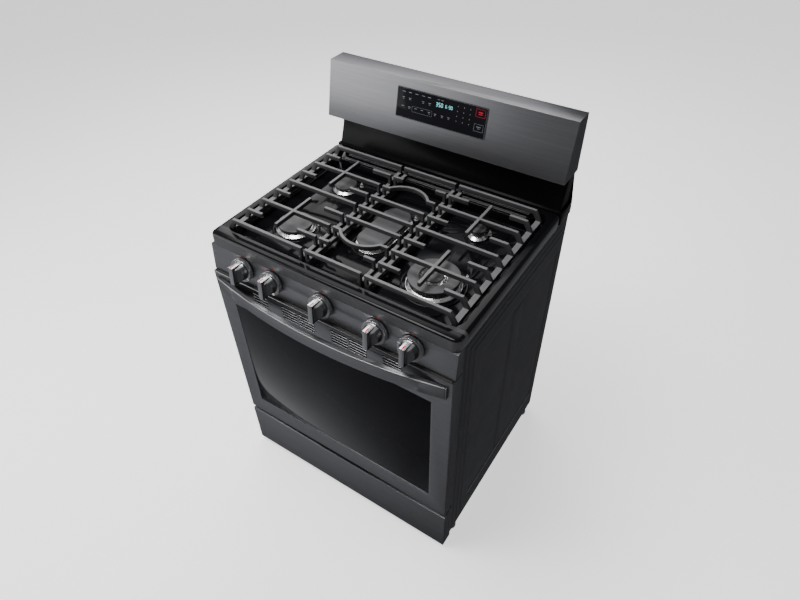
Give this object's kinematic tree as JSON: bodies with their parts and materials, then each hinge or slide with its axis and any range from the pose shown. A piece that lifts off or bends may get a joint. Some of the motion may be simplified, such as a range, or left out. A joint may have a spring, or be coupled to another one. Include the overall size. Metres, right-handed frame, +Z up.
{
  "type": "freestanding gas range",
  "caption": "Freestanding gas range with an oven door that drops down, a storage drawer, lift-off cast-iron grates, sealed burners and push-to-turn knobs.",
  "frame": {"origin": "on the floor under the middle of the overall box", "axes": "+Z up, front with door and knobs towards -Y, +X to the right as seen from the front"},
  "size_m": [0.757, 0.705, 1.187],
  "materials": {
    "black_stainless": "brushed",
    "black_enamel": "gloss",
    "side_paint": "satin",
    "oven_enamel": "gloss, fine speckle",
    "galvanised": "satin",
    "cast_iron": "matte",
    "cap_enamel": "matte",
    "burner_alloy": "satin",
    "valve_brass": "satin",
    "knob_metal": "satin",
    "bright_steel": "satin",
    "rack_chrome": "polished",
    "door_glass": "gloss",
    "igniter_ceramic": "gloss",
    "seal_fibre": "woven",
    "insulation_wool": "matte"
  },
  "bodies": {
    "cabinet": {"side_panel_left": "side_paint", "side_panel_right": "side_paint", "back_cover": "galvanised", "base_frame": "galvanised", "levelling_legs": "galvanised", "front_frame": "black_enamel", "oven_liner": "oven_enamel", "oven_floor": "oven_enamel", "bake_burner": "bright_steel", "broil_burner": "bright_steel", "insulation": "insulation_wool", "cooktop": "black_enamel", "burner_base_left_front": "burner_alloy", "burner_base_left_rear": "burner_alloy", "burner_base_centre": "burner_alloy", "burner_base_right_rear": "burner_alloy", "burner_base_right_front": "burner_alloy", "spark_igniters": "igniter_ceramic", "rear_vent": "black_enamel", "control_panel": "black_stainless", "gas_manifold": "burner_alloy", "gas_supply_pipe": "bright_steel", "gas_regulator": "burner_alloy", "burner_valves": "valve_brass", "backguard_riser": "black_enamel", "backguard_housing": "black_stainless", "touch_panel": "door_glass", "hinge_arms": "galvanised", "cabinet_screws": "galvanised"},
    "door": {"door_outer_skin": "black_stainless", "door_window": "door_glass", "door_inner_panel": "oven_enamel", "door_inner_glass": "door_glass", "door_gasket": "seal_fibre", "door_handle": "black_stainless", "handle_end_caps": "black_stainless", "door_hinges": "galvanised"},
    "drawer": {"drawer_front": "black_stainless", "drawer_box": "galvanised"},
    "rack_lower": {"oven_rack_lower": "rack_chrome"},
    "rack_upper": {"oven_rack_upper": "rack_chrome"},
    "stem_left_front": {"valve_stem_left_front": "bright_steel"},
    "knob_left_front": {"knob_left_front": "knob_metal"},
    "stem_left_rear": {"valve_stem_left_rear": "bright_steel"},
    "knob_left_rear": {"knob_left_rear": "knob_metal"},
    "stem_centre": {"valve_stem_centre": "bright_steel"},
    "knob_centre": {"knob_centre": "knob_metal"},
    "stem_right_rear": {"valve_stem_right_rear": "bright_steel"},
    "knob_right_rear": {"knob_right_rear": "knob_metal"},
    "stem_right_front": {"valve_stem_right_front": "bright_steel"},
    "knob_right_front": {"knob_right_front": "knob_metal"},
    "grate_left": {"grate_left": "cast_iron"},
    "grate_centre": {"grate_centre": "cast_iron"},
    "grate_right": {"grate_right": "cast_iron"},
    "cap_left_front": {"burner_cap_left_front": "cap_enamel"},
    "cap_left_rear": {"burner_cap_left_rear": "cap_enamel"},
    "cap_centre": {"burner_cap_centre": "cap_enamel"},
    "cap_right_rear": {"burner_cap_right_rear": "cap_enamel"},
    "cap_right_front_outer": {"burner_cap_right_front_outer": "cap_enamel"},
    "cap_right_front_inner": {"burner_cap_right_front_inner": "cap_enamel"}
  },
  "joints": [
    {"name": "door_hinge", "type": "hinge", "parent": "cabinet", "child": "door", "pos_m": [0, -0.2875, 0.212], "axis": [1, 0, 0], "range_deg": [0, 90], "stiffness_Nm_per_rad": 22, "springref_deg": -17.19},
    {"name": "drawer_slide", "type": "slide", "parent": "cabinet", "child": "drawer", "axis": [0, -1, 0], "range_m": [0, 0.4]},
    {"name": "rack_lower_slide", "type": "slide", "parent": "cabinet", "child": "rack_lower", "axis": [0, -1, 0], "range_m": [0, 0.02]},
    {"name": "rack_upper_slide", "type": "slide", "parent": "cabinet", "child": "rack_upper", "axis": [0, -1, 0], "range_m": [0, 0.02]},
    {"name": "left_front_push", "type": "slide", "parent": "cabinet", "child": "stem_left_front", "axis": [0, 0.995, -0.0995], "range_m": [0, 0.0025], "stiffness_N_per_m": 800, "springref_m": -0.004},
    {"name": "left_front_turn", "type": "hinge", "parent": "stem_left_front", "child": "knob_left_front", "pos_m": [-0.262, -0.2909, 0.85], "axis": [0, -0.995, 0.0995], "range_deg": [0, 270]},
    {"name": "left_rear_push", "type": "slide", "parent": "cabinet", "child": "stem_left_rear", "axis": [0, 0.995, -0.0995], "range_m": [0, 0.0025], "stiffness_N_per_m": 800, "springref_m": -0.004},
    {"name": "left_rear_turn", "type": "hinge", "parent": "stem_left_rear", "child": "knob_left_rear", "pos_m": [-0.162, -0.2909, 0.85], "axis": [0, -0.995, 0.0995], "range_deg": [0, 270]},
    {"name": "centre_push", "type": "slide", "parent": "cabinet", "child": "stem_centre", "axis": [0, 0.995, -0.0995], "range_m": [0, 0.0025], "stiffness_N_per_m": 800, "springref_m": -0.004},
    {"name": "centre_turn", "type": "hinge", "parent": "stem_centre", "child": "knob_centre", "pos_m": [0, -0.2909, 0.85], "axis": [0, -0.995, 0.0995], "range_deg": [0, 270]},
    {"name": "right_rear_push", "type": "slide", "parent": "cabinet", "child": "stem_right_rear", "axis": [0, 0.995, -0.0995], "range_m": [0, 0.0025], "stiffness_N_per_m": 800, "springref_m": -0.004},
    {"name": "right_rear_turn", "type": "hinge", "parent": "stem_right_rear", "child": "knob_right_rear", "pos_m": [0.162, -0.2909, 0.85], "axis": [0, -0.995, 0.0995], "range_deg": [0, 270]},
    {"name": "right_front_push", "type": "slide", "parent": "cabinet", "child": "stem_right_front", "axis": [0, 0.995, -0.0995], "range_m": [0, 0.0025], "stiffness_N_per_m": 800, "springref_m": -0.004},
    {"name": "right_front_turn", "type": "hinge", "parent": "stem_right_front", "child": "knob_right_front", "pos_m": [0.262, -0.2909, 0.85], "axis": [0, -0.995, 0.0995], "range_deg": [0, 270]},
    {"name": "grate_left_lift", "type": "slide", "parent": "cabinet", "child": "grate_left", "axis": [0, 0, 1], "range_m": [0, 0.12]},
    {"name": "grate_centre_lift", "type": "slide", "parent": "cabinet", "child": "grate_centre", "axis": [0, 0, 1], "range_m": [0, 0.12]},
    {"name": "grate_right_lift", "type": "slide", "parent": "cabinet", "child": "grate_right", "axis": [0, 0, 1], "range_m": [0, 0.12]},
    {"name": "cap_left_front_lift", "type": "slide", "parent": "cabinet", "child": "cap_left_front", "axis": [0, 0, 1], "range_m": [0, 0.01]},
    {"name": "cap_left_rear_lift", "type": "slide", "parent": "cabinet", "child": "cap_left_rear", "axis": [0, 0, 1], "range_m": [0, 0.01]},
    {"name": "cap_centre_lift", "type": "slide", "parent": "cabinet", "child": "cap_centre", "axis": [0, 0, 1], "range_m": [0, 0.01]},
    {"name": "cap_right_rear_lift", "type": "slide", "parent": "cabinet", "child": "cap_right_rear", "axis": [0, 0, 1], "range_m": [0, 0.01]},
    {"name": "cap_right_front_outer_lift", "type": "slide", "parent": "cabinet", "child": "cap_right_front_outer", "axis": [0, 0, 1], "range_m": [0, 0.01]},
    {"name": "cap_right_front_inner_lift", "type": "slide", "parent": "cabinet", "child": "cap_right_front_inner", "axis": [0, 0, 1], "range_m": [0, 0.01]}
  ]
}
